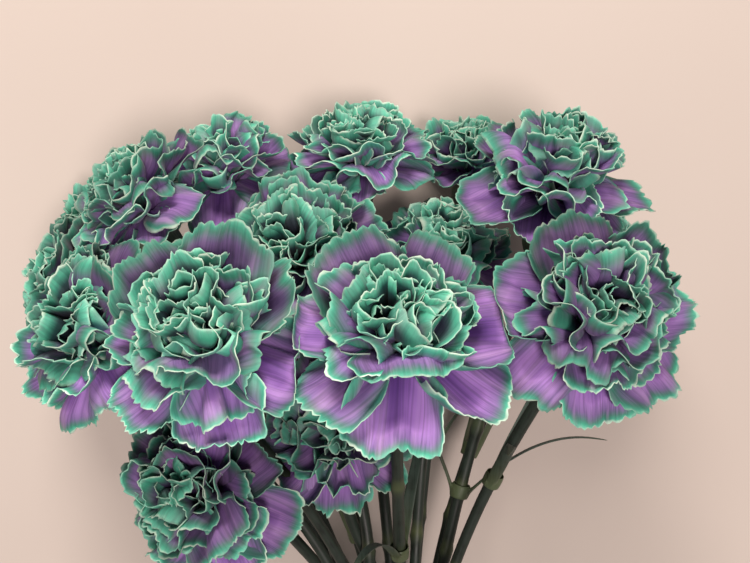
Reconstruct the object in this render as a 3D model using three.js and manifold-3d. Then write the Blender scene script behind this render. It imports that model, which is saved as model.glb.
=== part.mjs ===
// A bunch of sixteen cut carnations, held by one elastic band and lying on its side.
// Millimetres, +Z up. +Y runs from the cut ends of the stems to the flowers.
// Each flower has a crown of petals, a calyx that the petals' claws run into, and a stem.
// Some stems have a pair of leaves whose joined base clasps the stem.
import * as THREE from "three";
import Module from "manifold-3d";
import { mergeVertices } from "three/addons/utils/BufferGeometryUtils.js";

const wasm = await Module();
wasm.setup();

// Driving dimensions.
const CLEARANCE = 0.4; // between two pieces that touch
const STEM_RADIUS = 2.8;
const STEM_SIDES = 8;
const STEM_STEPS = 15;
const CALYX_LENGTH = 27;
const CALYX_MOUTH_RADIUS = 7.4;
const CALYX_WALL = 1.1;
const CALYX_SIDES = 10;
const CROWN_SIDES = 20;
const CROWN_SCALE = 1; // one factor on every flower's width
const CLAW_LENGTH = 18; // how far the petals' claws reach down inside the calyx
const BAND_WIDTH = 5;
const BAND_THICKNESS = 1.4;
const LEAF_LENGTH = 74;
const LEAF_WIDTH = 6.5;
const LEAF_THICKNESS = 1;
const SHEATH_LENGTH = 7;
const SHEATH_WALL = 0.9;
const CUT_END_Y = -345; // where the stems are cut
const BAND_CENTRE = new THREE.Vector3(12, -205, 52);
const END_CENTRE_X = 20;
const END_SPREAD = 1.25; // the bundle's width at the cut ends against its width in the band

// Each flower: the middle of its widest ring, the way it faces, and its width. The width is the
// open flower's own; where flowers press together, or on the ground, the crown is flattened.
const FLOWERS = [
  { at: [9, -16, 176], faces: [0.0, 0.74, 0.67], across: 88 },
  { at: [-68, -17, 172], faces: [-0.15, 0.66, 0.73], across: 86 },
  { at: [-122, -19, 138], faces: [-0.6, 0.5, 0.62], across: 82 },
  { at: [87, -9, 168], faces: [0.1, 0.45, 0.89], across: 84 },
  { at: [-74, -86, 147], faces: [-0.4, 0.2, 0.89], across: 82 },
  { at: [-16, -62, 114], faces: [0.05, 0.5, 0.86], across: 70 },
  { at: [-35, 15, 116], faces: [-0.15, 0.62, 0.77], across: 84 },
  { at: [-75, 58, 69], faces: [-0.25, 0.87, 0.42], across: 78 },
  { at: [-108, 40, 106], faces: [-0.5, 0.75, 0.43], across: 76 },
  { at: [-144, 32, 32], faces: [-0.75, 0.6, 0.28], across: 72 },
  { at: [-149, -4, 71], faces: [-0.9, 0.3, 0.3], across: 72 },
  { at: [-7, 66, 62], faces: [0.02, 0.9, 0.43], across: 82 },
  { at: [79, 52, 108], faces: [0.12, 0.85, 0.51], across: 90 },
  { at: [49, 66, 32], faces: [0.1, 0.95, 0.3], across: 74 },
  { at: [32, 20, 84], faces: [0.05, 0.85, 0.52], across: 68 },
  { at: [121, 12, 33], faces: [0.75, 0.6, 0.28], across: 74 },
];

// Pairs of leaves: the flower whose stem carries the pair, and how far down the stem it grows.
const LEAF_PAIRS = [
  { flower: 1, down: 0.27 },
  { flower: 4, down: 0.22 },
  { flower: 13, down: 0.32 },
  { flower: 7, down: 0.25 },
  { flower: 12, down: 0.3 },
  { flower: 8, down: 0.32 },
  { flower: 11, down: 0.22 },
  { flower: 10, down: 0.25 },
  { flower: 3, down: 0.15 },
  { flower: 14, down: 0.3 },
  { flower: 16, down: 0.27 },
];

// Colours and finishes.
const finish = (color, roughness) => new THREE.MeshStandardMaterial({ color, roughness, metalness: 0 });
const PETAL = finish(0x4fa68c, 0.7);
const CALYX = finish(0x66794f, 0.55);
const STEM = finish(0x5c6f55, 0.5);
const LEAF = finish(0x5f7663, 0.5);
const RUBBER = finish(0xc9a77a, 0.6);

// Shape of a crown, as shares of its radius: radius, height above the calyx's mouth, and how much
// of the frill of the petals' edges shows there. Three tiers of petals stand one inside the next.
const CROWN_PROFILE = [
  [0.4, 0.06, 0],
  [0.8, 0.02, 0.5],
  [1.0, 0.26, 1],
  [0.97, 0.6, 1],
  [0.76, 0.66, 0.3],
  [0.78, 0.9, 1],
  [0.54, 0.95, 0.3],
  [0.5, 1.12, 1],
  [0.22, 1.11, 0.3],
];
const WIDEST_HEIGHT = 0.42;
const TOP_HEIGHT = 1.17;
const FRILL = 0.045; // depth of the frill along the petals' edges
const LOBES = 0.04; // depth of the five broad lobes of a crown

const two = (n) => String(n).padStart(2, "0");
const bunch = new THREE.Group();

function addPiece(name, geometry, material) {
  const mesh = new THREE.Mesh(geometry, material);
  mesh.name = name;
  bunch.add(mesh);
  return mesh;
}

// The flowers, with the places worked out from the table.
const flowers = FLOWERS.map(({ at, faces, across }, index) => {
  const axis = new THREE.Vector3(...faces).normalize();
  const centre = new THREE.Vector3(...at);
  const radius = (across / 2) * CROWN_SCALE;
  const mouth = centre.clone().addScaledVector(axis, -WIDEST_HEIGHT * radius);
  const calyxBase = mouth.clone().addScaledVector(axis, -CALYX_LENGTH);
  return { index, axis, centre, radius, mouth, calyxBase, label: two(index + 1) };
});

// Slots where the stems pass through the band: one in the middle, then rings of five and ten.
const PITCH = 2 * STEM_RADIUS + CLEARANCE + 0.3;
const INNER_RING = PITCH;
const OUTER_RING = 1.9 * PITCH;
const SLOTS = [
  { radius: 0, count: 1 },
  { radius: INNER_RING, count: 5 },
  { radius: OUTER_RING, count: 10 },
];
const endCentre = new THREE.Vector3(END_CENTRE_X, CUT_END_Y, OUTER_RING * END_SPREAD + STEM_RADIUS);
const bundleAxis = BAND_CENTRE.clone().sub(endCentre).normalize();
const across1 = new THREE.Vector3(1, 0, 0).addScaledVector(bundleAxis, -bundleAxis.x).normalize();
const across2 = new THREE.Vector3().crossVectors(across1, bundleAxis).negate();

function slotPoint(centre, radius, angle) {
  return centre
    .clone()
    .addScaledVector(across1, radius * Math.cos(angle))
    .addScaledVector(across2, -radius * Math.sin(angle));
}

// The middle flowers take the inner slots. In each ring the stems keep the flowers' order round
// the bundle, turned to where the ring fits the flowers best, so that no two stems cross.
function assignSlots() {
  const flat = flowers.map((f) => {
    const away = f.calyxBase.clone().sub(BAND_CENTRE);
    const x = away.dot(across1);
    const z = -away.dot(across2);
    return { flower: f, angle: Math.atan2(z, x), reach: Math.hypot(x, z) };
  });
  const byReach = [...flat].sort((a, b) => a.reach - b.reach);
  let taken = 0;
  for (const { radius, count } of SLOTS) {
    const ring = byReach.slice(taken, taken + count).sort((a, b) => a.angle - b.angle);
    taken += count;
    const step = (2 * Math.PI) / count;
    const lean = ring.reduce(
      (sum, r, k) => sum.add(new THREE.Vector2(Math.cos(r.angle - k * step), Math.sin(r.angle - k * step))),
      new THREE.Vector2(),
    );
    const turn = Math.atan2(lean.y, lean.x);
    const start = radius === OUTER_RING ? outerTurn(turn) : turn;
    if (radius === INNER_RING) innerStart = start;
    ring.forEach((r, k) => {
      r.flower.slot = { radius, angle: start + k * step };
    });
  }
}

// The outer ring is turned so that its stems lie in the hollows between the inner ring's.
let innerStart = 0;
function outerTurn(turn) {
  const step = Math.PI / 5;
  const hollow = innerStart + step / 2;
  return hollow + Math.round((turn - hollow) / step) * step;
}
assignSlots();

// A stem's first line: a bend from the calyx into the bundle, then straight through the band to
// the cut end. The straight part and the first points under the calyx stay where they are.
const BEND_POINTS = 18;
const STRAIGHT_POINTS = 8;
const STRAIGHT_ABOVE_BAND = 12;
for (const f of flowers) {
  const inBand = slotPoint(BAND_CENTRE, f.slot.radius, f.slot.angle);
  const atEnd = slotPoint(endCentre, f.slot.radius * END_SPREAD, f.slot.angle);
  const start = f.calyxBase.clone().addScaledVector(f.axis, -CLEARANCE - 0.1);
  const along = inBand.clone().sub(atEnd).normalize();
  const enters = inBand.clone().addScaledVector(along, STRAIGHT_ABOVE_BAND);
  const run = start.distanceTo(enters);
  const bend = new THREE.CubicBezierCurve3(
    start,
    start.clone().addScaledVector(f.axis, -Math.min(45, 0.3 * run)),
    enters.clone().addScaledVector(along, 0.4 * run),
    enters,
  );
  f.line = bend.getPoints(BEND_POINTS);
  for (let k = 1; k <= STRAIGHT_POINTS; k++) f.line.push(enters.clone().lerp(atEnd, k / STRAIGHT_POINTS));
  f.held = new Set([0, 1]);
  for (let k = BEND_POINTS; k < f.line.length; k++) f.held.add(k);
}

// Nearest points of two segments, as their shares along each.
function nearestShares(p1, q1, p2, q2) {
  const d1 = q1.clone().sub(p1);
  const d2 = q2.clone().sub(p2);
  const r = p1.clone().sub(p2);
  const a = d1.dot(d1);
  const e = d2.dot(d2);
  const f = d2.dot(r);
  const c = d1.dot(r);
  const b = d1.dot(d2);
  const denominator = a * e - b * b;
  const s = denominator > 1e-9 ? THREE.MathUtils.clamp((b * f - c * e) / denominator, 0, 1) : 0.5;
  const t = THREE.MathUtils.clamp((b * s + f) / e, 0, 1);
  return [THREE.MathUtils.clamp((b * t - c) / a, 0, 1), t];
}

// Moves a pair of neighbouring points of a line, unless they are held.
function pushLine(f, k, share, shift) {
  if (!f.held.has(k)) f.line[k].addScaledVector(shift, 1 - share);
  if (!f.held.has(k + 1)) f.line[k + 1].addScaledVector(shift, share);
}

const STEM_GAP = 2 * STEM_RADIUS + 1.5;
const CALYX_GAP = STEM_RADIUS + CALYX_MOUTH_RADIUS + 1.5;

function pushApart(f, k, g, m, gap, moveBoth) {
  const [p1, q1] = [f.line[k], f.line[k + 1]];
  const [p2, q2] = moveBoth ? [g.line[m], g.line[m + 1]] : [g.mouth, g.calyxBase];
  if (p1.distanceTo(p2) > gap + p1.distanceTo(q1) + p2.distanceTo(q2)) return;
  const [s, t] = nearestShares(p1, q1, p2, q2);
  const away = p1.clone().lerp(q1, s).sub(p2.clone().lerp(q2, t));
  const distance = away.length();
  if (distance >= gap || distance < 1e-6) return;
  const shift = away.multiplyScalar((gap - distance) / distance / (moveBoth ? 2 : 1));
  pushLine(f, k, s, shift);
  if (moveBoth) pushLine(g, m, t, shift.clone().negate());
}

// Keeps a stem's points out of the middle of the other crowns, and above the ground.
const CROWN_KEEP_OUT = 0.86;
function pushFromCrowns(f, k) {
  const point = f.line[k];
  if (f.held.has(k)) return;
  for (const g of flowers) {
    if (g === f) continue;
    const away = point.clone().sub(g.centre);
    const height = away.dot(g.axis);
    const flat = g.axis.clone().multiplyScalar(height);
    const squashed = away.clone().sub(flat).addScaledVector(flat, 1.5);
    const reach = squashed.length() / g.radius;
    if (reach < CROWN_KEEP_OUT) point.addScaledVector(away.normalize(), (CROWN_KEEP_OUT - reach) * g.radius);
  }
  point.z = Math.max(point.z, STEM_RADIUS + 0.5);
}

const ROUNDS = 260;
for (let round = 0; round < ROUNDS; round++) {
  for (const f of flowers) {
    for (let k = 1; k < f.line.length - 1; k++) {
      if (f.held.has(k)) continue;
      const middle = f.line[k - 1].clone().add(f.line[k + 1]).multiplyScalar(0.5);
      f.line[k].lerp(middle, 0.12);
      pushFromCrowns(f, k);
    }
  }
  for (const f of flowers) {
    for (const g of flowers) {
      if (f === g) continue;
      for (let k = 0; k < f.line.length - 1; k++) {
        pushApart(f, k, g, 0, CALYX_GAP, false);
        if (g.index > f.index) {
          for (let m = 0; m < g.line.length - 1; m++) pushApart(f, k, g, m, STEM_GAP, true);
        }
      }
    }
  }
}
for (const f of flowers) f.curve = new THREE.CatmullRomCurve3(f.line, false, "centripetal");

// Everything that limits a crown: a plane for each neighbour, as a direction from the crown's
// middle and the distance to it.
function crownLimits(f) {
  const limits = [{ way: new THREE.Vector3(0, 0, -1), room: f.centre.z }];
  const addPoint = (point, keep) => {
    const way = point.clone().sub(f.centre);
    const distance = way.length();
    limits.push({ way: way.divideScalar(distance), room: distance - keep });
  };
  for (const g of flowers) {
    if (g === f) continue;
    const way = g.centre.clone().sub(f.centre);
    const distance = way.length();
    const share = distance / 2 + (f.radius ** 2 - g.radius ** 2) / (2 * distance);
    limits.push({ way: way.divideScalar(distance), room: share - CLEARANCE });
    const calyx = new THREE.Line3(g.mouth, g.calyxBase);
    addPoint(calyx.closestPointToPoint(f.centre, true, new THREE.Vector3()), CALYX_MOUTH_RADIUS + CLEARANCE);
    const stem = g.curve.getSpacedPoints(90);
    for (const point of stem.filter((p) => p.distanceTo(f.centre) < f.radius * 1.3 + STEM_RADIUS)) {
      addPoint(point, STEM_RADIUS + CLEARANCE + 0.3);
    }
  }
  return limits.filter(({ room }) => room < f.radius * 1.5);
}

// A closed body turned about the flower's axis, standing on the calyx's mouth.
function turnedBody(f, profile, sides) {
  const geometry = new THREE.LatheGeometry(
    profile.map(([r, h]) => new THREE.Vector2(r, h)),
    sides,
  );
  const upright = new THREE.Quaternion().setFromUnitVectors(new THREE.Vector3(0, 1, 0), f.axis);
  return geometry.applyQuaternion(upright).translate(f.mouth.x, f.mouth.y, f.mouth.z);
}

const CLAW_RADIUS = CALYX_MOUTH_RADIUS - CALYX_WALL - CLEARANCE - 0.6;
function crownGeometry(f) {
  const r = f.radius;
  const rows = [
    [0, -CLAW_LENGTH, 0],
    [CLAW_RADIUS * 0.6, -CLAW_LENGTH, 0],
    [CLAW_RADIUS, CLEARANCE, 0],
    ...CROWN_PROFILE.map(([x, h, frill]) => [x * r, h * r, frill]),
    [0, TOP_HEIGHT * r, 0],
  ];
  const geometry = turnedBody(f, rows, CROWN_SIDES);
  const limits = crownLimits(f);
  const position = geometry.getAttribute("position");
  const point = new THREE.Vector3();
  for (let i = 0; i < position.count; i++) {
    const column = Math.floor(i / rows.length);
    const row = i % rows.length;
    const frill = rows[row][2];
    point.fromBufferAttribute(position, i).sub(f.centre);
    const angle = (column / CROWN_SIDES) * 2 * Math.PI;
    const teeth = column % 2 === row % 2 ? 1 : -1;
    const lobes = Math.sin(5 * angle + 2 * f.index + row);
    point.multiplyScalar(1 + frill * (FRILL * teeth + LOBES * lobes - LOBES));
    point.addScaledVector(f.axis, 0.5 * frill * FRILL * r * Math.sin(7 * angle + row));
    if (row >= rows.length - CROWN_PROFILE.length - 1) {
      for (const { way, room } of limits) {
        const beyond = point.dot(way);
        if (beyond > room) point.multiplyScalar(room / beyond);
      }
    }
    point.add(f.centre);
    position.setXYZ(i, point.x, point.y, point.z);
  }
  return geometry;
}

// A tube that widens from the stem to its mouth, open at the top for the claws.
function calyxGeometry(f) {
  const outer = CALYX_MOUTH_RADIUS;
  const bottom = -CALYX_LENGTH;
  const inner = outer - CALYX_WALL;
  const profile = [
    [0, bottom],
    [STEM_RADIUS * 1.15, bottom],
    [outer * 0.82, bottom + CALYX_LENGTH * 0.12],
    [outer * 0.9, bottom + CALYX_LENGTH * 0.5],
    [outer, -CLEARANCE],
    [inner, -CLEARANCE],
    [inner * 0.86, bottom + CALYX_LENGTH * 0.4],
    [inner * 0.6, -CLAW_LENGTH - 2],
    [0, -CLAW_LENGTH - 2],
  ];
  return turnedBody(f, profile, CALYX_SIDES);
}

function polygon(radius, sides) {
  const corner = (k) => {
    const a = ((k + 0.5) / sides) * 2 * Math.PI;
    return new THREE.Vector2(radius * Math.cos(a), radius * Math.sin(a));
  };
  return new THREE.Shape(Array.from({ length: sides }, (_, k) => corner(k)));
}

function stemGeometry(f) {
  const options = { steps: STEM_STEPS, bevelEnabled: false, extrudePath: f.curve };
  return new THREE.ExtrudeGeometry(polygon(STEM_RADIUS, STEM_SIDES), options);
}

for (const f of flowers) {
  addPiece(`petals_${f.label}`, crownGeometry(f), PETAL);
  addPiece(`calyx_${f.label}`, calyxGeometry(f), CALYX);
  addPiece(`stem_${f.label}`, stemGeometry(f), STEM);
}

// The band: a flat ring round the outer stems, square to the bundle.
const bandInner = (OUTER_RING + STEM_RADIUS + 2 * CLEARANCE) / Math.cos(Math.PI / 24);
const bandProfile = [
  [bandInner, -BAND_WIDTH / 2],
  [bandInner + BAND_THICKNESS, -BAND_WIDTH / 2],
  [bandInner + BAND_THICKNESS, BAND_WIDTH / 2],
  [bandInner, BAND_WIDTH / 2],
  [bandInner, -BAND_WIDTH / 2],
].map(([r, h]) => new THREE.Vector2(r, h));
const band = new THREE.LatheGeometry(bandProfile, 24);
band.applyQuaternion(new THREE.Quaternion().setFromUnitVectors(new THREE.Vector3(0, 1, 0), bundleAxis));
band.translate(BAND_CENTRE.x, BAND_CENTRE.y, BAND_CENTRE.z);
addPiece("rubber_band", band, RUBBER);

// Turns a closed geometry into a solid that can be joined, and back.
function solid(geometry) {
  const bare = geometry.clone();
  bare.deleteAttribute("normal");
  bare.deleteAttribute("uv");
  const merged = mergeVertices(bare, 1e-4);
  const mesh = new wasm.Mesh({
    numProp: 3,
    vertProperties: merged.getAttribute("position").array,
    triVerts: new Uint32Array(merged.index.array),
  });
  return new wasm.Manifold(mesh);
}

function geometryOf(manifold) {
  const { vertProperties, triVerts } = manifold.getMesh();
  return new THREE.BufferGeometry()
    .setAttribute("position", new THREE.BufferAttribute(vertProperties, 3))
    .setIndex(new THREE.BufferAttribute(triVerts, 1));
}

// A leaf's middle line leans out from the stem and arches over: its place at a share of its
// length, as the distance out from the stem and the distance along it.
function leafLine(lean, arch, steps) {
  const line = [{ out: 0, up: 0, angle: lean }];
  for (let k = 1; k <= steps; k++) {
    const last = line[k - 1];
    const angle = lean + arch * (k / steps) ** 2;
    const piece = LEAF_LENGTH / steps;
    line.push({ out: last.out + piece * Math.sin(angle), up: last.up + piece * Math.cos(angle), angle });
  }
  return line;
}

const LEAF_STEPS = 6;
const SHEATH_BORE = (STEM_RADIUS + CLEARANCE) / Math.cos(Math.PI / STEM_SIDES) + 0.4;
const SHEATH_OUTSIDE = SHEATH_BORE + SHEATH_WALL;

// One blade in the frame of its stem: Y up the stem, X out, Z across the blade.
function bladeGeometry(lean, arch) {
  const blade = new THREE.BoxGeometry(LEAF_THICKNESS, 1, LEAF_WIDTH, 1, LEAF_STEPS, 2);
  const line = leafLine(lean, arch, LEAF_STEPS);
  const position = blade.getAttribute("position");
  for (let i = 0; i < position.count; i++) {
    const share = position.getY(i) + 0.5;
    const { out, up, angle } = line[Math.round(share * LEAF_STEPS)];
    const taper = 0.16 + 0.84 * Math.sqrt(1 - share) * Math.min(1, 0.62 + 2 * share);
    const z = position.getZ(i) * taper;
    const keel = 0.16 * Math.abs(z);
    const x = position.getX(i) * (0.35 + 0.65 * taper) - keel;
    const base = SHEATH_BORE + SHEATH_WALL * 0.5;
    position.setXYZ(i, base + out + x * Math.cos(angle), up - x * Math.sin(angle), z);
  }
  return blade;
}

// Where a stem runs at a share of its length, with the direction towards the flower.
function stationOn(f, down) {
  const place = f.curve.getPointAt(down);
  const up = f.curve.getTangentAt(down).negate();
  const side = new THREE.Vector3(0, 0, 1).addScaledVector(up, -up.z).normalize();
  return { place, up, side, other: new THREE.Vector3().crossVectors(up, side) };
}

// What a leaf has to stay clear of, as points with a radius round each.
const obstacles = flowers.flatMap((f) => {
  const stem = f.curve.getSpacedPoints(110).map((point) => ({ point, keep: STEM_RADIUS, owner: f }));
  const calyx = [0, 0.25, 0.5, 0.75, 1].map((share) => ({
    point: f.mouth.clone().lerp(f.calyxBase, share),
    keep: CALYX_MOUTH_RADIUS,
    owner: null,
  }));
  return [...stem, ...calyx, { point: f.centre, keep: f.radius * 1.02, owner: null }];
});
const bandPoints = band.getAttribute("position");
for (let i = 0; i < bandPoints.count; i++) {
  obstacles.push({ point: new THREE.Vector3().fromBufferAttribute(bandPoints, i), keep: BAND_THICKNESS, owner: null });
}

// The least room round a pair of leaves turned to an angle about the stem.
function roomForPair(f, station, turn, lean, arch) {
  let room = Infinity;
  const keepClear = (point, own) => {
    for (const { point: other, keep, owner } of obstacles) {
      if (owner !== f) room = Math.min(room, point.distanceTo(other) - keep - own);
    }
  };
  for (const end of [-0.5, 0, 0.5]) {
    keepClear(station.place.clone().addScaledVector(station.up, end * SHEATH_LENGTH), SHEATH_OUTSIDE);
  }
  for (const half of [0, Math.PI]) {
    const out = station.side
      .clone()
      .multiplyScalar(Math.cos(turn + half))
      .addScaledVector(station.other, Math.sin(turn + half));
    const flat = new THREE.Vector3().crossVectors(station.up, out);
    leafLine(lean, arch, 3 * LEAF_STEPS).forEach(({ out: o, up: u }) => {
      for (const across of [-0.85, 0, 0.85]) {
        const point = station.place
          .clone()
          .addScaledVector(out, SHEATH_BORE + o)
          .addScaledVector(station.up, u)
          .addScaledVector(flat, (across * LEAF_WIDTH) / 2);
        room = Math.min(room, point.z - LEAF_THICKNESS);
        keepClear(point, LEAF_THICKNESS / 2);
      }
    });
  }
  return room;
}

const TURNS = 36;
const ENOUGH_ROOM = 2.5;
const SPREADS = [
  [0.55, 0.9],
  [0.4, 0.75],
  [0.28, 0.5],
  [0.16, 0.3],
  [0.1, 0.12],
];
function freestPose(f, down) {
  let best = { room: -Infinity };
  for (const shift of [0, -0.03, 0.03, -0.06, 0.06, -0.09, 0.09]) {
    const station = stationOn(f, down + shift);
    for (const [lean, arch] of SPREADS) {
      for (let k = 0; k < TURNS / 2; k++) {
        const turn = (k / TURNS) * 2 * Math.PI;
        const room = roomForPair(f, station, turn, lean, arch);
        if (room > best.room) best = { room, station, turn, lean, arch };
      }
      if (best.room > ENOUGH_ROOM) return best;
    }
  }
  return best;
}

LEAF_PAIRS.forEach(({ flower, down }, index) => {
  const f = flowers[flower - 1];
  const { station, turn, lean, arch } = freestPose(f, down);
  const sheath = [
    [SHEATH_BORE, -SHEATH_LENGTH / 2],
    [SHEATH_OUTSIDE, -SHEATH_LENGTH / 2],
    [SHEATH_OUTSIDE, SHEATH_LENGTH / 2],
    [SHEATH_BORE, SHEATH_LENGTH / 2],
    [SHEATH_BORE, -SHEATH_LENGTH / 2],
  ].map(([r, h]) => new THREE.Vector2(r, h));
  const blade = bladeGeometry(lean, arch);
  const joined = solid(new THREE.LatheGeometry(sheath, 9))
    .add(solid(blade))
    .add(solid(blade.clone().rotateY(Math.PI)));
  const pair = geometryOf(joined);
  const out = station.side
    .clone()
    .multiplyScalar(Math.cos(turn))
    .addScaledVector(station.other, Math.sin(turn));
  const flat = new THREE.Vector3().crossVectors(out, station.up);
  pair.applyMatrix4(new THREE.Matrix4().makeBasis(out, station.up, flat).setPosition(station.place));
  addPiece(`leaf_pair_${two(index + 1)}`, pair, LEAF);
  for (const point of pairPoints(pair)) obstacles.push({ point, keep: LEAF_WIDTH / 2, owner: null });
});

// The points of a finished pair, which the next pairs stay clear of.
function pairPoints(geometry) {
  const position = geometry.getAttribute("position");
  return Array.from({ length: position.count }, (_, i) => new THREE.Vector3().fromBufferAttribute(position, i));
}

// The origin is under the middle of the whole bunch, on the surface that it lies on.
const box = new THREE.Box3().setFromObject(bunch, true);
bunch.position.set(-(box.min.x + box.max.x) / 2, -(box.min.y + box.max.y) / 2, -box.min.z);

export default bunch;
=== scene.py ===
"""The finish of a bunch of sixteen dyed carnations, lying on its side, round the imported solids."""

import math

import bmesh
import bpy
import numpy as np
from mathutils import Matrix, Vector


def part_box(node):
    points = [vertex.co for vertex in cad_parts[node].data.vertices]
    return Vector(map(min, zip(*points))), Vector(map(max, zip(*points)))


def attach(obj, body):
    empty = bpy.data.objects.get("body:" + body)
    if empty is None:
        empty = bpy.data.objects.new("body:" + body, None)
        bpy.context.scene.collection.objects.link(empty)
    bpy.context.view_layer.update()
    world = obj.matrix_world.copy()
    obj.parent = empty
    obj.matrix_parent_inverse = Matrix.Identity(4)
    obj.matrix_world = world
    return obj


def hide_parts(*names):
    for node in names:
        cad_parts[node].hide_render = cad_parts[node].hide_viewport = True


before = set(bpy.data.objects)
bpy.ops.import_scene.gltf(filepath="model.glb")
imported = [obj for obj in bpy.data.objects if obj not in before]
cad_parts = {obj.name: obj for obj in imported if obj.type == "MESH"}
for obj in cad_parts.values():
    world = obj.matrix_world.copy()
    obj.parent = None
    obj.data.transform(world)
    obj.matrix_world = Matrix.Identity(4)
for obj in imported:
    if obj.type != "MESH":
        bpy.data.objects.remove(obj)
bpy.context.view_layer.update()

MM = 0.001
FLOWERS = range(1, 17)
LEAF_PAIRS = range(1, 12)


# ---------------------------------------------------------------- colours and materials


def colour(text):
    """An sRGB hex colour as linear red, green, blue and alpha."""
    parts = [int(text[i : i + 2], 16) / 255 for i in (0, 2, 4)]
    linear = [c / 12.92 if c <= 0.04045 else ((c + 0.055) / 1.055) ** 2.4 for c in parts]
    return (*linear, 1.0)


def new_material(name):
    material = bpy.data.materials.new(name)
    material.use_nodes = True
    material.node_tree.nodes.clear()
    return material, material.node_tree


def add_node(tree, kind, settings=None, inputs=None):
    """Adds a node with its settings. An input is a value, or another node's output to link."""
    node = tree.nodes.new(kind)
    for key, value in (settings or {}).items():
        setattr(node, key, value)
    for key, value in (inputs or {}).items():
        socket = node.inputs[key]
        if isinstance(value, bpy.types.NodeSocket):
            tree.links.new(value, socket)
        else:
            socket.default_value = value
    return node


def finish_material(tree, inputs):
    """The surface shader of a material, and its output."""
    shader = add_node(tree, "ShaderNodeBsdfPrincipled", {}, inputs)
    add_node(tree, "ShaderNodeOutputMaterial", {}, {"Surface": shader.outputs["BSDF"]})


def set_stops(ramp, stops):
    """Gives a colour ramp its stops, each a position and a hex colour."""
    elements = ramp.color_ramp.elements
    while len(elements) > 1:
        elements.remove(elements[-1])
    elements[0].position = stops[0][0]
    elements[0].color = colour(stops[0][1])
    for position, text in stops[1:]:
        elements.new(position).color = colour(text)
    return ramp.outputs["Color"]


PATTERN_MM = 40.0  # one unit of the petals' own pattern coordinates
VEIN_MM, VEIN_LENGTH_MM = 0.9, 16.0
RAY_MM, RAY_LENGTH_MM = 5.0, 40.0
RIM_PATCH_MM = 9.0
THIN_RIM_MM, WIDE_RIM_MM = 0.25, 1.9

# The dye's colours from the edge of a petal inwards. The violet deepens towards the claw, partly the
# dye's own deeper violet and partly painted shade.
DYE_AND_CLAW_SHADE = [
    (0.0, "94dcbe"),
    (0.02, "68c8a8"),
    (0.055, "48ac8e"),
    (0.095, "529080"),
    (0.135, "6c7c8e"),
    (0.19, "8a70a8"),
    (0.33, "ae80cc"),
    (0.6, "8650ba"),
    (1.0, "5c3096"),
]


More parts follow.
